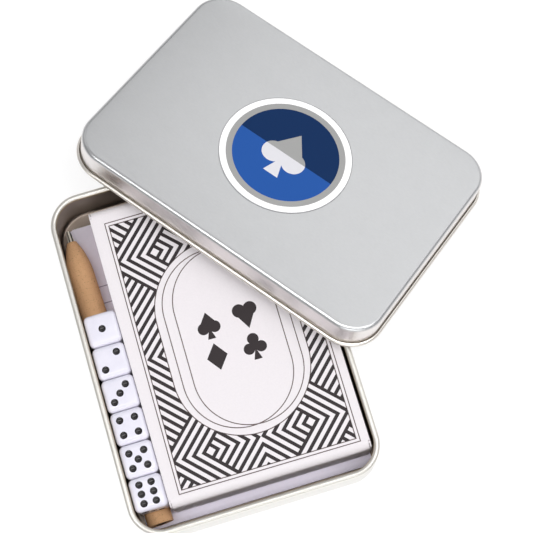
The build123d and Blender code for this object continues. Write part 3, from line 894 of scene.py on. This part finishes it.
def makeTable():
    look = tableLook
    deselectAll()
    bpy.ops.mesh.primitive_plane_add(size=look["size"], location=place(0, 0, -look["drop"]))
    table = bpy.context.object
    table.name = "Table"
    finish, tree, shader = startFinish("white table", {
        "Roughness": look["roughness"], "Base Color": (look["white"],) * 3 + (1,)})
    ray = addNode(tree, "ShaderNodeLightPath").node.outputs
    seen = addNode(tree, "ShaderNodeMath", {0: ray["Is Camera Ray"], 1: ray["Is Glossy Ray"]},
                   operation="MAXIMUM")
    seen = addNode(tree, "ShaderNodeMath", {0: seen, 1: ray["Is Transmission Ray"]},
                   operation="MAXIMUM")
    part = addNode(tree, "ShaderNodeMath", {0: seen, 1: look["share"]}, operation="MULTIPLY")
    strength = addNode(tree, "ShaderNodeMath", {0: ray["Is Glossy Ray"], 1: look["mirrored"],
                       2: look["glow"]}, operation="MULTIPLY_ADD")
    glow = addNode(tree, "ShaderNodeEmission", {"Color": (1, 1, 1, 1), "Strength": strength})
    mixed = addNode(tree, "ShaderNodeMixShader", {0: part, 1: shader.outputs[0], 2: glow})
    tree.links.new(mixed, tree.nodes["Material Output"].inputs["Surface"])
    table.data.materials.append(finish)


# Where each lamp hangs, where it points, its width and height in metres, and its watts
lamps = {
    "OverheadStrip": ((0, -0.13, 1.1), (0, -0.02, 0), (2.0, 0.32), 10.2),
    "RearSoftbox": ((1.05, 0.72, 1.0), (0, 0, 0), (1.65, 1.25), 5.8),
    "RightSoftbox": ((0.9, -0.6, 1.0), (0, 0, 0), (0.5, 0.5), 1.2),
    "FrontSoftbox": ((-0.1, -1.2, 0.72), (0, 0, 0), (1.4, 0.6), 6.6),
    "BackSoftbox": ((-0.35, 1.1, 0.9), (0, 0, 0), (1.0, 0.8), 1.4),
}


def addLamp(name, where, aim, size, power):
    lamp = bpy.data.lights.new(name, "AREA")
    lamp.shape = "RECTANGLE"
    lamp.size, lamp.size_y = size
    lamp.energy = power
    lampObject = bpy.data.objects.new(name, lamp)
    lampObject.location = where
    lampObject.rotation_euler = (Vector(aim) - Vector(where)).to_track_quat("-Z", "Y").to_euler()
    bpy.context.scene.collection.objects.link(lampObject)


makeTable()
for name, settings in lamps.items():
    addLamp(name, *settings)
print("lit by", len(lamps), "lamps")

# Studio room: soft light from all round, pale walls low down that metal edges mirror, and white
# where the camera looks past the table
studioLook = {
    "tint": (0.98, 0.98, 1.0, 1), "fill": 0.31, "walls": 0.18, "wallTop": 0.42, "wallFoot": 0.1,
    "seen": 1.2,
}


def addStudio():
    look = studioLook
    world = bpy.data.worlds.new("Studio")
    bpy.context.scene.world = world
    world.use_nodes = True
    tree = world.node_tree
    background = tree.nodes["Background"]
    background.inputs["Color"].default_value = look["tint"]
    toward = addNode(tree, "ShaderNodeTexCoord", output="Generated")
    height = addNode(tree, "ShaderNodeSeparateXYZ", {0: toward}, output=2)
    wall = addNode(tree, "ShaderNodeMapRange", {0: height, 1: look["wallTop"],
                   2: look["wallFoot"], 3: 0.0, 4: look["walls"]}, interpolation_type="SMOOTHSTEP")
    ray = addNode(tree, "ShaderNodeLightPath").node.outputs
    wall = addNode(tree, "ShaderNodeMath", {0: wall, 1: ray["Is Glossy Ray"]}, operation="MULTIPLY")
    seen = addNode(tree, "ShaderNodeMath", {0: ray["Is Camera Ray"], 1: look["seen"],
                   2: look["fill"]}, operation="MULTIPLY_ADD")
    strength = addNode(tree, "ShaderNodeMath", {0: wall, 1: seen}, operation="ADD")
    tree.links.new(strength, background.inputs["Strength"])


addStudio()

# Camera, where the photographer stood
cameraSpot = {
    "place": (0.002152, -0.087668, 0.445369), "lens": 99.90,
    "right": (0.95769, -0.28662, -0.02621), "up": (0.28457, 0.92933, 0.23531),
    "back": (-0.04309, -0.23281, 0.97157), "sensor": 36.0, "nearest": 0.01,
}


def addCamera():
    spot = cameraSpot
    camera = bpy.data.cameras.new("Camera")
    camera.lens = spot["lens"]
    camera.sensor_width = spot["sensor"]
    camera.clip_start = spot["nearest"]
    viewer = bpy.data.objects.new("Camera", camera)
    turn = Matrix((spot["right"], spot["up"], spot["back"])).transposed().to_4x4()
    viewer.matrix_world = Matrix.Translation(spot["place"]) @ turn
    bpy.context.scene.collection.objects.link(viewer)
    bpy.context.scene.camera = viewer


addCamera()
bpy.context.scene.view_settings.view_transform = "Standard"
